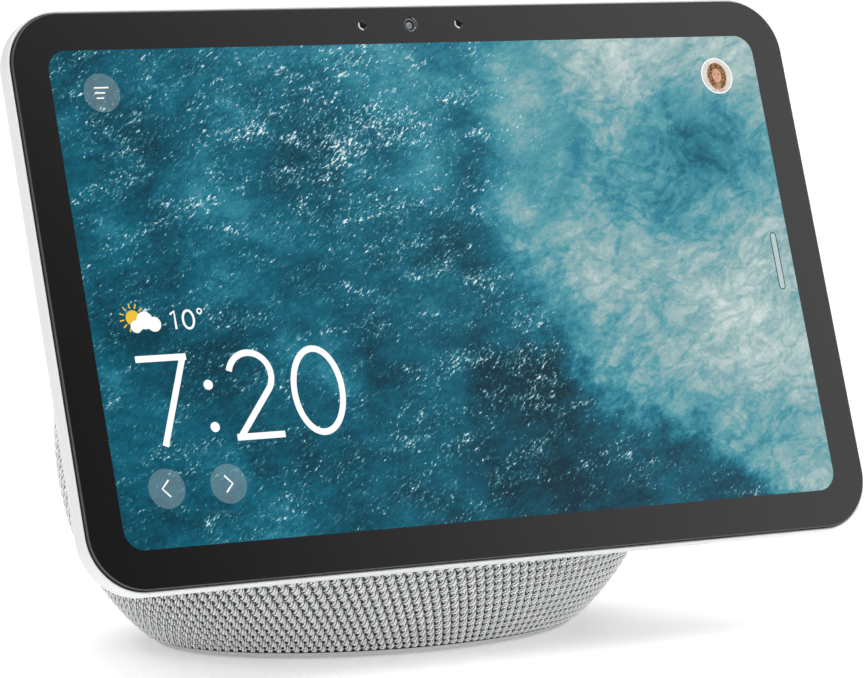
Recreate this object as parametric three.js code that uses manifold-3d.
// A smart display: a tablet-like screen leaning back on a fabric-covered speaker base.
// Units are millimetres and +Z is up. The screen faces -Y, and the origin is on the table
// under the middle of the whole object.

import * as THREE from "three";
import { mergeVertices } from "three/addons/utils/BufferGeometryUtils.js";
import Module from "manifold-3d";

const wasm = await Module();
wasm.setup();

// ---------------------------------------------------------------- driving dimensions

const gap = 0.3; // between pieces that rest on or sit in each other

// Screen and glass.
const screenWidth = 189.7; // picture area of an 8.7 inch panel
const screenHeight = 113.3;
const borderSide = 8.5; // black border beside the picture
const borderEnd = 8.75; // black border above and below it
const glassThickness = 1.1;
const glassCorner = 12.8;
const glassProud = 0.9; // how far the glass stands out of the shell's lip
const cameraHeight = 61.2; // camera and microphone ports, above the middle of the screen
const portSpacing = 13.0; // from the camera to each microphone port
const portRadius = 0.9;

// Layers behind the glass.
const panelThickness = 1.5;
const panelMargin = 1.5; // panel beyond the picture, at the sides and top
const panelLedge = 4.0; // and below, where its drivers sit
const backlightThickness = 1.6;
const frameThickness = 0.5;
const boardRoom = 1.3; // depth left for boards behind the panel
const boardThickness = 0.8;

// Display shell.
const shellWall = 1.8;
const shellRim = 2.4; // wider wall that carries the glass
const lipWidth = 0.6;
const backEdge = 5.0; // rounding of the shell's back edge
const cavityEdge = 1.2; // and of the hollow inside it
const gasketThickness = 0.5;

// How the display stands.
const tilt = THREE.MathUtils.degToRad(19.4);
const clearUnderDisplay = 23.9; // from the table to the shell's lower edge
const axisBehindGlass = 53.3; // from the glass to the base's axis, at the base's widest level
const reveal = 1.5; // shadow gap between the display's back and the base

// Base: an ellipse at every level, widest at bellyHeight, drawn in above and below it.
const baseHalfWidth = 78.5;
const baseHalfDepth = 52.0;
const bellyHeight = 54.6;
const bellyReach = 68.0; // height from the widest level to the top of the form
const bellyPower = 2.3; // 2 is an ellipse, more is squarer
const fabricThickness = 1.2;
const baseWall = 2.4;

// Foot plate and foot.
const footHeight = 1.1;
const plateClearance = 0.6; // from the table to the foot plate
const rimHeight = 1.3;
const spigotHeight = 2.7; // of the foot plate, inside the base shell
const footHalfWidth = 0.64 * baseHalfWidth;
const footHalfDepth = 0.61 * baseHalfDepth;
const footRingWidth = 11.8;
const bossSpread = 0.8 * footHalfWidth; // of the bottom screws, from the middle
const bossSetback = 10.0;
const bossRadius = 3.6;
const bossTop = 18.0; // above the table

// Neck, where the display is screwed to the base.
const neckHeight = 76.0; // above the table
const neckWidth = 0.84 * baseHalfWidth;
const neckTall = 32.0;
const frontPlateThickness = 2.5;
const neckScrewX = neckWidth / 2 - 7;
const neckScrewY = neckTall / 2 - 5;
const screwRadius = 1.3;
const screwHeadRadius = 2.7;
const screwHeadHeight = 1.6;
const screwClearance = 0.3;

// Buttons in the display's right edge.
const buttonLength = 12.0;
const buttonWidth = 2.4;
const buttonProud = 0.5;
const buttonTravel = 0.4;
const buttonClearance = 0.25;
const volumeUpY = 24.0; // above the middle of the screen
const volumeDownY = 9.0;
const microphoneOffY = 44.0;

// Woofer, firing backwards.
const wooferRadius = 35.5;
const wooferHeight = 57.0;
const wooferSetback = 37.0; // behind the base's axis
const wooferTravel = 3.0;

// Full-range drivers, firing outwards and forwards.
const driverRadius = 19.0;
const driverHeight = 45.0;
const driverYaw = THREE.MathUtils.degToRad(35);
const driverRecess = 7.0; // from the shell's inner wall to the driver's face
const driverTravel = 1.0;
const collarRadius = driverRadius + 2; // of the base shell, round each driver

// Power socket in the back of the base.
const portHeight = 12.5;
const portOuter = 6.5;
const portInner = 4.9;
const portFloor = 34.0; // behind the base's axis
const portFloorThickness = 1.0;
const plugBore = 2.8;
const plugPin = 1.0;

// ------------------------------------------------------------------ derived dimensions

const glassWidth = screenWidth + 2 * borderSide;
const glassHeight = screenHeight + 2 * borderEnd;
const rimOut = gap + lipWidth; // shell beyond the glass, on every side
const shellWidth = glassWidth + 2 * rimOut;
const shellHeight = glassHeight + 2 * rimOut;
const shellCorner = glassCorner + rimOut;
const ledgeDepth = glassThickness + gasketThickness + 2 * gap;
const panelDepth = glassThickness + gap;
const backlightDepth = panelDepth + panelThickness + gap;
const frameDepth = backlightDepth + backlightThickness + gap;
const boardDepth = frameDepth + frameThickness + gap;
const displayDepth = boardDepth + boardRoom + shellWall;
const cavityWidth = shellWidth - 2 * shellRim;
const cavityHeight = shellHeight - 2 * shellRim;

const displayHeight =
  clearUnderDisplay +
  (shellHeight / 2 - backEdge) * Math.cos(tilt) +
  (displayDepth - backEdge) * Math.sin(tilt) +
  backEdge;
const displayForward = axisBehindGlass - (displayHeight - bellyHeight) * Math.tan(tilt);

const frontDepth = displayDepth + reveal; // plane, behind the glass, where the base is cut flat
const plateDepth = frontDepth + 0.5; // the front plate sits a little inside the cut
const plateBack = plateDepth + frontPlateThickness;
const neckY = (neckHeight + displayDepth * Math.sin(tilt) - displayHeight) / Math.cos(tilt);

const shellInset = fabricThickness + gap;
const insideInset = shellInset + baseWall;
const fitInset = insideInset + gap; // what sits inside the base shell
const rimTop = plateClearance + rimHeight;
const coverFloor = rimTop + gap;
const spigotTop = rimTop + spigotHeight;

// -------------------------------------------------------------------------- materials

const finishes = {
  whitePlastic: { color: 0xe6e8e6, roughness: 0.45, metalness: 0 },
  blackGlass: { color: 0x1b1b1d, roughness: 0.12, metalness: 0 },
  panel: { color: 0x1a5d6e, roughness: 0.3, metalness: 0 },
  diffuser: { color: 0xf2f4f5, roughness: 0.5, metalness: 0 },
  darkPlastic: { color: 0x2a2b2d, roughness: 0.6, metalness: 0 },
  lens: { color: 0x303238, roughness: 0.05, metalness: 0 },
  greyFabric: { color: 0xa9abad, roughness: 0.95, metalness: 0 },
  rubber: { color: 0x6f7173, roughness: 0.85, metalness: 0 },
  steel: { color: 0xb4b6b9, roughness: 0.35, metalness: 1 },
  aluminium: { color: 0xc6c8cb, roughness: 0.4, metalness: 1 },
  circuitBoard: { color: 0x1d5a3a, roughness: 0.5, metalness: 0 },
  copper: { color: 0xb87441, roughness: 0.4, metalness: 1 },
  ferrite: { color: 0x3a3b3e, roughness: 0.7, metalness: 0 },
  conePaper: { color: 0x24252a, roughness: 0.8, metalness: 0 },
};

// ------------------------------------------------------------------------ shape helpers

function solid(geometry) {
  const bare = geometry.clone();
  bare.deleteAttribute("normal");
  bare.deleteAttribute("uv");
  const merged = mergeVertices(bare, 1e-4);
  return new wasm.Manifold(
    new wasm.Mesh({
      numProp: 3,
      vertProperties: new Float32Array(merged.attributes.position.array),
      triVerts: new Uint32Array(merged.index.array),
    }),
  );
}

function geometryOf(body) {
  const { vertProperties, triVerts } = body.getMesh();
  const geometry = new THREE.BufferGeometry();
  geometry.setAttribute("position", new THREE.BufferAttribute(vertProperties, 3));
  geometry.setIndex(new THREE.BufferAttribute(triVerts, 1));
  geometry.computeVertexNormals();
  return geometry;
}

const carve = (base, ...cutters) =>
  geometryOf(cutters.map(solid).reduce((left, cutter) => left.subtract(cutter), solid(base)));
const fuse = (...pieces) => geometryOf(pieces.map(solid).reduce((whole, piece) => whole.add(piece)));
const common = (a, b) => geometryOf(solid(a).intersect(solid(b)));

// A box between two depths along z, centred in x and y.
function slab(width, height, low, high) {
  return new THREE.BoxGeometry(width, height, high - low).translate(0, 0, (low + high) / 2);
}

// An upright round bar between two levels on the z axis.
function bar(radius, low, high, sides = 24) {
  const geometry = new THREE.CylinderGeometry(radius, radius, high - low, sides);
  return geometry.rotateX(Math.PI / 2).translate(0, 0, (low + high) / 2);
}

function roundedRectangle(width, height, corner) {
  const shape = new THREE.Shape();
  const x = width / 2 - corner;
  const y = height / 2 - corner;
  shape.absarc(x, y, corner, 0, Math.PI / 2);
  shape.absarc(-x, y, corner, Math.PI / 2, Math.PI);
  shape.absarc(-x, -y, corner, Math.PI, 1.5 * Math.PI);
  shape.absarc(x, -y, corner, 1.5 * Math.PI, 2 * Math.PI);
  return shape;
}

// A flat plate with round corners between two depths along z.
function plate(width, height, corner, low, high, curveSegments = 6) {
  const shape = roundedRectangle(width, height, corner);
  const options = { depth: high - low, bevelEnabled: false, curveSegments };
  return new THREE.ExtrudeGeometry(shape, options).translate(0, 0, low);
}

// A block with round corners and a round back edge, from depth `back` forwards.
function tray(width, height, corner, edge, back, front) {
  const shape = roundedRectangle(width - 2 * edge, height - 2 * edge, corner - edge);
  const options = {
    depth: front - back,
    bevelThickness: edge,
    bevelSize: edge,
    bevelSegments: 4,
    curveSegments: 6,
  };
  const pillow = new THREE.ExtrudeGeometry(shape, options).translate(0, 0, back + edge);
  return carve(pillow, slab(2 * width, 2 * height, front, front + 4 * edge));
}

// A solid of revolution about z from [radius, z] points that run outwards, up and back in.
function turned(points, sides = 24) {
  const profile = points.map(([radius, z]) => new THREE.Vector2(radius, z));
  return new THREE.LatheGeometry(profile, sides).rotateX(Math.PI / 2);
}

// The same for a profile that goes round a ring and closes on itself.
const ringTurned = (points, sides) => turned([...points, points[0]], sides);

// A half-roll edge between two radii: the flexible ring round a loudspeaker cone.
function halfRoll(inner, outer, level, wall) {
  const steps = 4;
  const middle = (inner + outer) / 2;
  const arc = (radius, from, to) =>
    Array.from({ length: steps + 1 }, (_, i) => {
      const angle = from + ((to - from) * i) / steps;
      return [middle + radius * Math.cos(angle), level + radius * Math.sin(angle)];
    });
  const big = (outer - inner) / 2;
  return ringTurned([...arc(big, 0, Math.PI), ...arc(big - wall, Math.PI, 0)]);
}

// The base's rounded form, drawn in by `inset` and cut flat at the level `floor`.
function pebble(inset, floor) {
  const reach = bellyReach - inset;
  const power = 2 / bellyPower;
  const steps = 14;
  const profile = Array.from({ length: steps - 1 }, (_, i) => {
    const angle = (Math.PI * (i + 1)) / steps - Math.PI / 2;
    const rise = Math.sign(angle) * Math.abs(Math.sin(angle)) ** power;
    return [Math.cos(angle) ** power, bellyHeight + reach * rise];
  });
  const closed = [[0, bellyHeight - reach], ...profile, [0, bellyHeight + reach]];
  const form = turned(closed, 36).scale(baseHalfWidth - inset, baseHalfDepth - inset, 1);
  const below = 4 * baseHalfWidth;
  return carve(form, slab(below, below, floor - below, floor));
}

// ------------------------------------------------------------------------------ groups

const model = new THREE.Group();
const stand = new THREE.Group(); // origin on the table, under the base's axis
const display = new THREE.Group(); // origin at the middle of the screen, +Z out of the glass
display.position.set(0, -displayForward, displayHeight);
display.rotation.x = Math.PI / 2 - tilt;
display.updateMatrix();
stand.add(display);
model.add(stand);

function add(group, name, geometry, finish) {
  const mesh = new THREE.Mesh(geometry, new THREE.MeshStandardMaterial(finishes[finish]));
  mesh.name = name;
  group.add(mesh);
  return mesh;
}

// Everything in front of a plane behind the glass, in the stand's frame.
function inFrontOf(depth) {
  const size = 4 * baseHalfWidth;
  return slab(size, size, -depth, size).applyMatrix4(display.matrix);
}

// ------------------------------------------------------------------ glass and its panel

function addGlass() {
  const port = bar(portRadius, -2 * glassThickness, glassThickness, 16);
  const glass = carve(
    plate(glassWidth, glassHeight, glassCorner, -glassThickness, 0, 8),
    port.clone().translate(-portSpacing, cameraHeight, 0),
    port.clone().translate(portSpacing, cameraHeight, 0),
  );
  add(display, "front_glass", glass, "blackGlass");

  const top = -glassThickness - gap;
  const outer = plate(glassWidth, glassHeight, glassCorner, top - gasketThickness, top);
  const hole = 2 * (shellRim - rimOut);
  const inner = plate(
    glassWidth - hole,
    glassHeight - hole,
    glassCorner - hole / 2,
    top - 2 * gasketThickness,
    top + gasketThickness,
  );
  add(display, "glass_gasket", carve(outer, inner), "rubber");
}

function addPanel() {
  const width = screenWidth + 2 * panelMargin;
  const height = screenHeight + panelMargin + panelLedge;
  const lower = (panelMargin - panelLedge) / 2;
  const layers = [
    ["lcd_panel", panelDepth, panelThickness, "panel"],
    ["backlight_unit", backlightDepth, backlightThickness, "diffuser"],
    ["panel_frame", frameDepth, frameThickness, "steel"],
  ];
  for (const [name, depth, thickness, finish] of layers) {
    const layer = slab(width, height, -depth - thickness, -depth).translate(0, lower, 0);
    add(display, name, layer, finish);
  }
}

// ----------------------------------------------------------------------- display shell

const buttonDepth = ledgeDepth + 1.0 + buttonWidth / 2; // middle of the slots, behind the glass
const buttons = [
  ["microphone_off_button", microphoneOffY],
  ["volume_up_button", volumeUpY],
  ["volume_down_button", volumeDownY],
];

function slotThrough(extra) {
  const length = buttonLength + 2 * extra;
  const width = buttonWidth + 2 * extra;
  return plate(width, length, width / 2 - 0.01, 0, 4 * shellRim, 4).rotateY(Math.PI / 2);
}

function screwPlaces() {
  const sides = [-1, 1];
  return sides.flatMap((x) => sides.map((y) => [x * neckScrewX, neckY + y * neckScrewY]));
}

const cableWidth = 20;
const cableSlot = [24, 3];

function addDisplayShell() {
  const outer = tray(shellWidth, shellHeight, shellCorner, backEdge, -displayDepth, -glassProud);
  const cavity = tray(
    cavityWidth,
    cavityHeight,
    shellCorner - shellRim,
    cavityEdge,
    shellWall - displayDepth,
    glassThickness,
  );
  const seat = plate(
    glassWidth + 2 * gap,
    glassHeight + 2 * gap,
    glassCorner + gap,
    -ledgeDepth,
    glassThickness,
    8,
  );
  const cutters = [cavity, seat];
  for (const [, y] of buttons) {
    const slot = slotThrough(buttonClearance);
    cutters.push(slot.translate(shellWidth / 2 - 2 * shellRim, y, -buttonDepth));
  }
  for (const [x, y] of screwPlaces()) {
    const hole = bar(screwRadius + screwClearance, -2 * displayDepth, -displayDepth / 2, 12);
    cutters.push(hole.translate(x, y, 0));
  }
  const [slotWide, slotTall] = cableSlot;
  const slot = slab(slotWide, slotTall, -2 * displayDepth, -displayDepth / 2);
  cutters.push(slot.translate(0, neckY, 0));
  add(display, "display_shell", carve(outer, ...cutters), "whitePlastic");
}

function addMountPlate() {
  const low = -displayDepth + shellWall + gap;
  const high = low + boardThickness;
  const holes = screwPlaces().map(([x, y]) =>
    bar(screwRadius + screwClearance, low - 1, high + 1, 12).translate(x, y, 0),
  );
  const [slotWide, slotTall] = cableSlot;
  const slot = slab(slotWide, slotTall, low - 1, high + 1).translate(0, neckY, 0);
  const blank = slab(neckWidth, neckTall, low, high).translate(0, neckY, 0);
  add(display, "mount_plate", carve(blank, slot, ...holes), "steel");

  const boardTall = 22;
  const boardY = neckY + (neckTall + boardTall) / 2 + 3;
  const board = slab(neckWidth, boardTall, low, high).translate(0, boardY, 0);
  add(display, "driver_board", board, "circuitBoard");

  const antennaLength = 36;
  const antennaTall = 3;
  const antennaX = cavityWidth / 2 - shellCorner - antennaLength / 2;
  const antennaY = cavityHeight / 2 - antennaTall;
  for (const [name, side] of [["left_antenna", -1], ["right_antenna", 1]]) {
    const strip = slab(antennaLength, antennaTall, low, low + 0.4);
    add(display, name, strip.translate(side * antennaX, antennaY, 0), "copper");
  }
}

// ------------------------------------------------- camera, microphones and the buttons

function addCamera() {
  const ringRadius = 1.6;
  const lensRadius = 1.0;
  const ringTop = -glassThickness - gap;
  const ringLow = ringTop - 0.4;
  const ring = ringTurned(
    [[lensRadius, ringLow], [ringRadius, ringLow], [ringRadius, ringTop], [lensRadius, ringTop]],
    16,
  );
  add(display, "camera_ring", ring.translate(0, cameraHeight, 0), "steel");

  const lensTop = ringLow - gap;
  const lensEdge = lensTop - 0.5;
  const lens = turned(
    [
      [0, lensEdge - 0.3],
      [lensRadius, lensEdge - 0.3],
      [lensRadius, lensEdge],
      [0.6, lensTop - 0.1],
      [0, lensTop],
    ],
    20,
  );
  add(display, "camera_lens", lens.translate(0, cameraHeight, 0), "lens");

  const bodyLow = -displayDepth + shellWall + gap;
  const barrel = bar(lensRadius + gap + 0.5, bodyLow + 1, lensTop, 20);
  const body = slab(6.5, 3.6, bodyLow, lensTop - 1.4);
  const bore = bar(lensRadius + gap, lensEdge - 0.3 - gap, lensTop + 1, 20);
  const camera = carve(fuse(body, barrel), bore);
  add(display, "camera_module", camera.translate(0, cameraHeight, 0), "darkPlastic");

  const micTop = -glassThickness - gap;
  for (const [name, side] of [["left_microphone", -1], ["right_microphone", 1]]) {
    const box = slab(4, 3, micTop - 1.2, micTop);
    const soundHole = bar(0.5, micTop - 0.8, micTop + 1, 10);
    const microphone = carve(box, soundHole).translate(side * portSpacing, cameraHeight, 0);
    add(display, name, microphone, "aluminium");
  }
}

function addButtons() {
  const wallInside = cavityWidth / 2;
  const flangeTop = wallInside - gap;
  const flangeLow = flangeTop - 0.8;
  const switchTop = flangeLow - buttonTravel - 0.1;
  const boardTop = switchTop - 1.4;
  for (const [name, y] of buttons) {
    const reach = shellWidth / 2 + buttonProud;
    const cap = plate(buttonWidth, buttonLength, buttonWidth / 2 - 0.01, 0, reach - flangeLow, 4);
    const flange = plate(buttonWidth + 1.2, buttonLength + 2.4, 1, 0, flangeTop - flangeLow, 3);
    const button = add(display, name, fuse(cap, flange).rotateY(Math.PI / 2), "whitePlastic");
    button.position.set(flangeLow, y, -buttonDepth);
  }
  const low = -displayDepth + shellWall + gap;
  const span = microphoneOffY - volumeDownY + buttonLength;
  const middle = (microphoneOffY + volumeDownY) / 2;
  const tall = -ledgeDepth - gap - low;
  const board = new THREE.BoxGeometry(boardThickness, span, tall);
  board.translate(boardTop - boardThickness / 2, middle, low + tall / 2);
  const switches = buttons.map(([, y]) =>
    new THREE.BoxGeometry(switchTop - boardTop + 0.2, 4, 2).translate(
      (switchTop + boardTop - 0.2) / 2,
      y,
      -buttonDepth,
    ),
  );
  add(display, "button_board", fuse(board, ...switches), "circuitBoard");
}

// -------------------------------------------------------------------- neck and the joint

function addNeck() {
  const size = 4 * baseHalfWidth;
  const sheet = slab(size, size, -plateBack, -plateDepth).applyMatrix4(display.matrix);
  const roomForCollars = [-1, 1].map((side) =>
    bar(collarRadius + gap, -3, 40).applyMatrix4(driverMatrix(side)),
  );
  const cutPlate = carve(common(sheet, pebble(fitInset, spigotTop + gap)), ...roomForCollars);
  cutPlate.applyMatrix4(display.matrix.clone().invert());
  const pad = plate(neckWidth, neckTall, 8, -plateDepth - 1, -displayDepth - gap);
  pad.translate(0, neckY, 0);
  const posts = boardPosts().map(([x, y]) =>
    bar(2.5, -mainBoardDepth + gap, -plateBack + 1, 12).translate(x, y, 0),
  );
  const holes = screwPlaces().map(([x, y]) =>
    bar(screwRadius + screwClearance, -2 * plateBack, 0, 12).translate(x, y, 0),
  );
  const [slotWide, slotTall] = cableSlot;
  const slot = slab(slotWide, slotTall, -2 * plateBack, 0).translate(0, neckY, 0);
  add(display, "front_plate", carve(fuse(cutPlate, pad, ...posts), slot, ...holes), "darkPlastic");

  const headTop = -plateBack - gap;
  const tip = -boardDepth - 0.2;
  screwPlaces().forEach(([x, y], i) => {
    const screw = turned(
      [
        [0, headTop - screwHeadHeight],
        [screwHeadRadius, headTop - screwHeadHeight],
        [screwHeadRadius, headTop],
        [screwRadius, headTop],
        [screwRadius, tip],
        [0, tip],
      ],
      14,
    );
    add(display, `neck_screw_${i + 1}`, screw, "steel").position.set(x, y, 0);
  });

  const cableTop = -displayDepth + shellWall + gap;
  const cable = slab(cableWidth, 0.5, -mainBoardDepth + gap, cableTop);
  add(display, "display_cable", cable.translate(0, neckY, 0), "copper");
}

// ------------------------------------------------------------- boards inside the base

const mainBoardDepth = plateBack + 8.0;
const mainBoard = [1.02 * baseHalfWidth, 50];
const mainBoardThickness = 1.6;
const heatSink = [0.76 * baseHalfWidth, 36, 12];

function boardPosts() {
  const [wide, tall] = mainBoard;
  const sides = [-1, 1];
  return sides.flatMap((x) => sides.map((y) => [x * (wide / 2 - 4), neckY + y * (tall / 2 - 4)]));
}

function addMainBoard() {
  const [wide, tall] = mainBoard;
  const back = -mainBoardDepth - mainBoardThickness;
  const board = slab(wide, tall, back, -mainBoardDepth).translate(0, neckY, 0);
  add(display, "main_board", board, "circuitBoard");

  const shieldTop = back - gap;
  const shield = slab(30, 26, shieldTop - 2, shieldTop).translate(0, neckY, 0);
  add(display, "processor_shield", shield, "steel");

  const [sinkWide, sinkTall, sinkDeep] = heatSink;
  const sinkTop = shieldTop - 2 - gap;
  const footThickness = 2;
  const fins = [slab(sinkWide, sinkTall, sinkTop - footThickness, sinkTop)];
  const count = 9;
  for (let i = 0; i < count; i++) {
    const x = -sinkWide / 2 + 0.75 + ((sinkWide - 1.5) * i) / (count - 1);
    fins.push(slab(1.5, sinkTall, sinkTop - sinkDeep, sinkTop - 0.5).translate(x, 0, 0));
  }
  add(display, "heat_sink", fuse(...fins).translate(0, neckY, 0), "aluminium");
}

const ballast = [2 * (bossSpread - bossRadius - gap), 34, 6];
const jackSize = [9, 11, 10];

function addBottomParts() {
  const [wide, deep, tall] = ballast;
  const low = spigotTop + gap;
  const weight = plate(wide, deep, 8, low, low + tall, 4);
  add(stand, "ballast_weight", weight.translate(0, -10, 0), "steel");

  const [jackWide, jackLong, jackTall] = jackSize;
  const boardLow = low + 0.5;
  const boardHigh = boardLow + mainBoardThickness;
  const board = slab(30, 20, boardLow, boardHigh).translate(0, portFloor - gap - 14, 0);
  add(stand, "power_board", board, "circuitBoard");

  const jackFace = portFloor - gap;
  const body = slab(jackWide, jackLong, boardHigh + gap, portHeight + jackTall / 2);
  const bore = bar(plugBore, -9, 5, 20).rotateX(-Math.PI / 2);
  const pin = bar(plugPin, -9.5, -1, 12).rotateX(-Math.PI / 2);
  const socket = fuse(
    carve(body.translate(0, jackFace - jackLong / 2, 0), bore.translate(0, jackFace, portHeight)),
    pin.translate(0, jackFace, portHeight),
  );
  add(stand, "power_jack", socket, "darkPlastic");
}

// --------------------------------------------------------------- fabric, shell and foot

// Turns a shape whose axis is z to point outwards from the base, on one side.
function outwards(side) {
  const yaw = new THREE.Matrix4().makeRotationZ(-side * driverYaw);
  const lay = new THREE.Matrix4().makeRotationY((side * Math.PI) / 2);
  return yaw.multiply(lay);
}

// Middle of a full-range driver's face, in the stand's frame.
function driverPlace(side) {
  const halfWidth = baseHalfWidth - insideInset;
  const halfDepth = baseHalfDepth - insideInset;
  const around = Math.atan((Math.tan(driverYaw) * halfDepth) / halfWidth);
  const x = halfWidth * Math.cos(around) - driverRecess * Math.cos(driverYaw);
  const y = -halfDepth * Math.sin(around) + driverRecess * Math.sin(driverYaw);
  return new THREE.Vector3(side * x, y, driverHeight);
}

function driverMatrix(side) {
  return outwards(side).setPosition(driverPlace(side));
}

// Upright sound slots that fill a circle, cut along z.
function soundSlots(reach, pitch, width, low, high) {
  const each = Math.floor((reach - width) / pitch);
  return Array.from({ length: 2 * each + 1 }, (_, i) => {
    const x = (i - each) * pitch;
    const half = Math.sqrt(reach ** 2 - (Math.abs(x) + width / 2) ** 2);
    return slab(width, 2 * half, low, high).translate(x, 0, 0);
  });
}

const bossPlaces = [-1, 1].flatMap((x) => [-1, 1].map((y) => [x * bossSpread, y * bossSetback]));

function powerPort(radius, low) {
  return bar(radius, low, 2 * baseHalfDepth, 24).rotateX(-Math.PI / 2).translate(0, 0, portHeight);
}

function addFabric() {
  const cover = carve(
    pebble(0, coverFloor),
    pebble(fabricThickness, coverFloor - 2 * gap),
    inFrontOf(frontDepth),
    powerPort(portOuter + gap, portFloor),
  );
  add(stand, "fabric_cover", cover, "greyFabric");
}

function addBaseShell() {
  const outside = pebble(shellInset, coverFloor);
  const inside = pebble(insideInset, coverFloor - 2 * gap);
  const wall = carve(outside, inside);
  const collars = [];
  const cutters = [inFrontOf(frontDepth + gap), powerPort(portOuter + gap, portFloor)];
  for (const side of [-1, 1]) {
    const place = driverMatrix(side);
    collars.push(common(bar(collarRadius, -2, 30).applyMatrix4(place), outside));
    cutters.push(bar(driverRadius + gap, -12, gap).applyMatrix4(place));
    cutters.push(common(bar(driverRadius - 3, -1, 30).applyMatrix4(place), inside));
    for (const slot of soundSlots(driverRadius - 4, 6, 3, 0, 30)) {
      cutters.push(slot.applyMatrix4(place));
    }
  }
  const backwards = new THREE.Matrix4().makeRotationX(-Math.PI / 2);
  backwards.setPosition(0, wooferSetback, wooferHeight);
  for (const slot of soundSlots(wooferRadius - 6, 7, 3.5, 3, baseHalfDepth)) {
    cutters.push(slot.applyMatrix4(backwards));
  }
  const bosses = bossPlaces.flatMap(([x, y]) => {
    const low = spigotTop + gap;
    const post = bar(bossRadius, low, bossTop, 14).translate(x, y, 0);
    const ribLength = baseHalfWidth - Math.abs(x);
    const rib = slab(ribLength, 2, low, bossTop);
    rib.translate(Math.sign(x) * (Math.abs(x) + ribLength / 2), y, 0);
    return [common(post, outside), common(rib, outside)];
  });
  for (const [x, y] of bossPlaces) {
    cutters.push(bar(screwRadius + screwClearance, 0, bossTop - 2, 12).translate(x, y, 0));
  }
  const shell = carve(fuse(wall, ...collars, ...bosses), ...cutters);
  add(stand, "base_shell", shell, "darkPlastic");
}

function ellipse(halfWidth, halfDepth, low, high) {
  return bar(1, low, high, 36).scale(halfWidth, halfDepth, 1);
}

function addFoot() {
  const rim = common(pebble(0, plateClearance), slab(400, 400, 0, rimTop));
  const spigot = common(pebble(fitInset, rimTop - 0.5), slab(400, 400, 0, spigotTop));
  const recessTop = footHeight + gap;
  const innerWidth = footHalfWidth - footRingWidth;
  const innerDepth = footHalfDepth - footRingWidth;
  const groove = carve(
    ellipse(footHalfWidth + gap, footHalfDepth + gap, -1, recessTop),
    ellipse(innerWidth - gap, innerDepth - gap, -2, recessTop + 1),
  );
  const holes = bossPlaces.flatMap(([x, y]) => [
    bar(screwRadius + screwClearance, 0, 2 * spigotTop, 12).translate(x, y, 0),
    bar(screwHeadRadius + screwClearance, 0, recessTop + screwHeadHeight, 16).translate(x, y, 0),
  ]);
  add(stand, "bottom_plate", carve(fuse(rim, spigot), groove, ...holes), "whitePlastic");

  const ring = carve(
    ellipse(footHalfWidth, footHalfDepth, 0, footHeight),
    ellipse(innerWidth, innerDepth, -1, footHeight + 1),
  );
  add(stand, "foot_ring", ring, "rubber");

  const headLow = recessTop + 0.1;
  const headHigh = recessTop + screwHeadHeight - gap;
  bossPlaces.forEach(([x, y], i) => {
    const screw = turned(
      [
        [0, headLow],
        [screwHeadRadius, headLow],
        [screwHeadRadius, headHigh],
        [screwRadius, headHigh],
        [screwRadius, bossTop - 4],
        [0, bossTop - 4],
      ],
      14,
    );
    add(stand, `bottom_screw_${i + 1}`, screw, "steel").position.set(x, y, 0);
  });
}

function addPowerPort() {
  const cup = common(powerPort(portOuter, portFloor), pebble(-0.4, plateClearance));
  const recess = powerPort(portInner, portFloor + portFloorThickness);
  const plugHole = powerPort(plugBore + 0.4, portFloor - 1);
  add(stand, "power_port", carve(cup, recess, plugHole), "whitePlastic");
}

// ------------------------------------------------------------------------ loudspeakers

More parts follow.
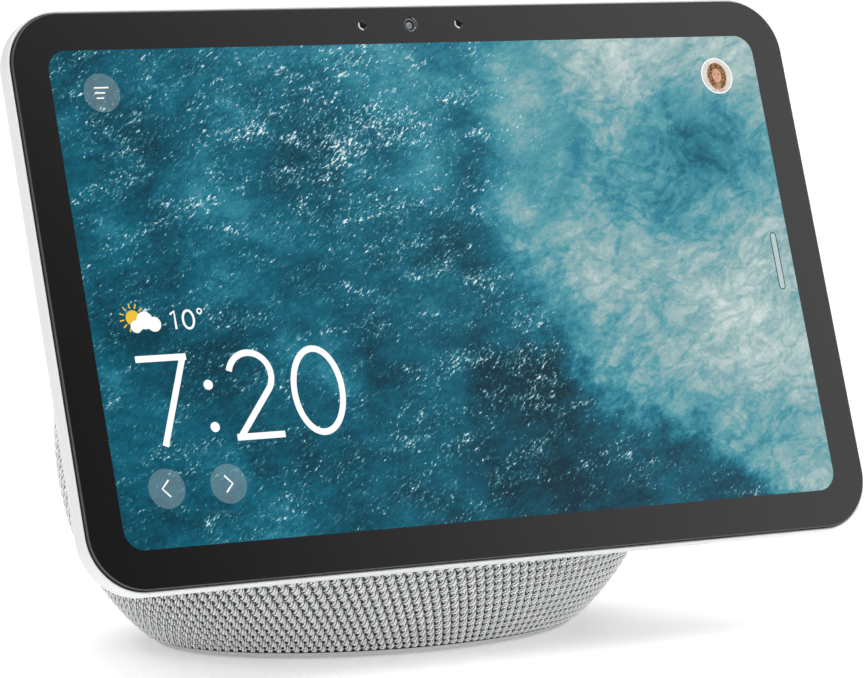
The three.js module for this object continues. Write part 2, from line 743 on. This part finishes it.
function addWoofer() {
  const woofer = new THREE.Group();
  woofer.position.set(0, wooferSetback, wooferHeight);
  woofer.rotation.x = -Math.PI / 2; // +Z points backwards
  stand.add(woofer);

  const r = wooferRadius;
  const basketLow = -18;
  const coilRadius = 8;
  const poleRadius = coilRadius - 1;
  const coneRadius = r - 8.5;
  const flange = 2;
  const shape = ringTurned([
    [coilRadius + 2, basketLow - 1.5],
    [r - 18, basketLow - 1.5],
    [r - 3, -flange],
    [r, -flange],
    [r, 0],
    [r - 5, 0],
    [r - 5, -flange - 0.5],
    [r - 19.5, basketLow],
    [coilRadius + 2, basketLow],
  ]);
  const windows = [0, 1].map((turn) =>
    slab(14, 4 * r, basketLow + 3, -flange - 2).rotateZ((turn * Math.PI) / 2),
  );
  add(woofer, "woofer_basket", carve(shape, ...windows), "darkPlastic");

  const magnetTop = basketLow - 1.5 - gap;
  const magnet = turned([
    [0, magnetTop - 13],
    [r - 19, magnetTop - 13],
    [r - 19, magnetTop],
    [coilRadius + 1.2, magnetTop],
    [coilRadius + 1.2, magnetTop - 9.5],
    [poleRadius, magnetTop - 9.5],
    [poleRadius, basketLow + 0.5],
    [0, basketLow + 0.5],
  ]);
  add(woofer, "woofer_magnet", magnet, "ferrite");

  const cone = turned([
    [0, -10.2],
    [coilRadius - 0.5, -13.1],
    [coilRadius + 0.6, -13.1],
    [coneRadius - 0.5, -2.6],
    [coneRadius, -2.6],
    [coneRadius, -1.8],
    [coneRadius - 0.7, -1.8],
    [coilRadius + 1, -12.0],
    [coilRadius - 0.5, -12.2],
    [0, -9.2],
  ]);
  add(woofer, "woofer_cone", cone, "conePaper");

  const coilTop = -13.1 - gap;
  const coil = ringTurned([
    [coilRadius - 0.4, magnetTop - 9.5 + wooferTravel + 1],
    [coilRadius + 0.4, magnetTop - 9.5 + wooferTravel + 1],
    [coilRadius + 0.4, coilTop],
    [coilRadius - 0.4, coilTop],
  ]);
  add(woofer, "woofer_coil", coil, "copper");

  const surround = halfRoll(coneRadius + gap, r - 5 - gap, -2, 0.5);
  add(woofer, "woofer_surround", surround, "rubber");

  const spiderIn = coilRadius + 0.4 + gap;
  const spiderOut = r - 18.2;
  const waves = 6;
  const level = (i) => -15.6 + (i % 2 ? 0.4 : 0);
  const along = Array.from({ length: waves + 1 }, (_, i) => [
    spiderIn + ((spiderOut - spiderIn) * i) / waves,
    level(i),
  ]);
  const back = along.map(([x, z]) => [x, z + 0.4]).reverse();
  add(woofer, "woofer_spider", ringTurned([...along, ...back]), "conePaper");

  const baffleFace = wooferSetback + gap;
  const sheet = new THREE.BoxGeometry(4 * r, 2.5, 80).translate(0, baffleFace + 1.25, 60);
  const sound = bar(r - 4.5, -10, 10).rotateX(Math.PI / 2);
  const baffle = carve(
    common(sheet, pebble(fitInset, spigotTop)),
    sound.translate(0, baffleFace, wooferHeight),
    powerPort(portOuter + gap, 0),
  );
  add(stand, "woofer_baffle", baffle, "darkPlastic");
}

function addDriver(name, side) {
  const driver = new THREE.Group();
  driver.applyMatrix4(driverMatrix(side));
  stand.add(driver);

  const r = driverRadius;
  const coilRadius = 6.4;
  const cupLow = -9;
  const coneRadius = r - 6.4;
  const mouth = r - 3.8;
  const frame = ringTurned(
    [
      [coilRadius + 2.2, cupLow],
      [r - 5, cupLow],
      [r - 2.4, -1.6],
      [r, -1.6],
      [r, 0],
      [mouth, 0],
      [mouth, -2],
      [r - 6.4, cupLow + 1.2],
      [coilRadius + 2.2, cupLow + 1.2],
    ],
  );
  add(driver, `${name}_frame`, frame, "darkPlastic");

  const magnetTop = cupLow - gap;
  const magnet = turned(
    [
      [0, magnetTop - 7.7],
      [r - 8, magnetTop - 7.7],
      [r - 8, magnetTop],
      [coilRadius + 1, magnetTop],
      [coilRadius + 1, magnetTop - 4.7],
      [coilRadius - 1, magnetTop - 4.7],
      [coilRadius - 1, cupLow + 1.6],
      [0, cupLow + 1.6],
    ],
  );
  add(driver, `${name}_magnet`, magnet, "ferrite");

  const coilLow = magnetTop - 4.7 + driverTravel + 0.5;
  const cone = turned(
    [
      [0, -3.2],
      [coilRadius - 0.5, -5.6],
      [coilRadius - 0.5, coilLow],
      [coilRadius + 0.5, coilLow],
      [coilRadius + 0.5, -5.2],
      [coneRadius, -1.9],
      [coneRadius, -1.2],
      [coilRadius, -4.4],
      [0, -2.4],
    ],
  );
  add(driver, `${name}_cone`, cone, "conePaper");

  const surround = halfRoll(coneRadius + gap, mouth - gap, -1.6, 0.4);
  add(driver, `${name}_surround`, surround, "rubber");
}

// ------------------------------------------------------------------------------ assembly

addGlass();
addPanel();
addDisplayShell();
addMountPlate();
addCamera();
addButtons();
addNeck();
addMainBoard();
addFabric();
addBaseShell();
addFoot();
addBottomParts();
addPowerPort();
addWoofer();
addDriver("left_driver", -1);
addDriver("right_driver", 1);

// The origin lies under the middle of the object's depth.
const extent = new THREE.Box3().setFromObject(stand, true);
stand.position.y = -(extent.min.y + extent.max.y) / 2;

export default model;
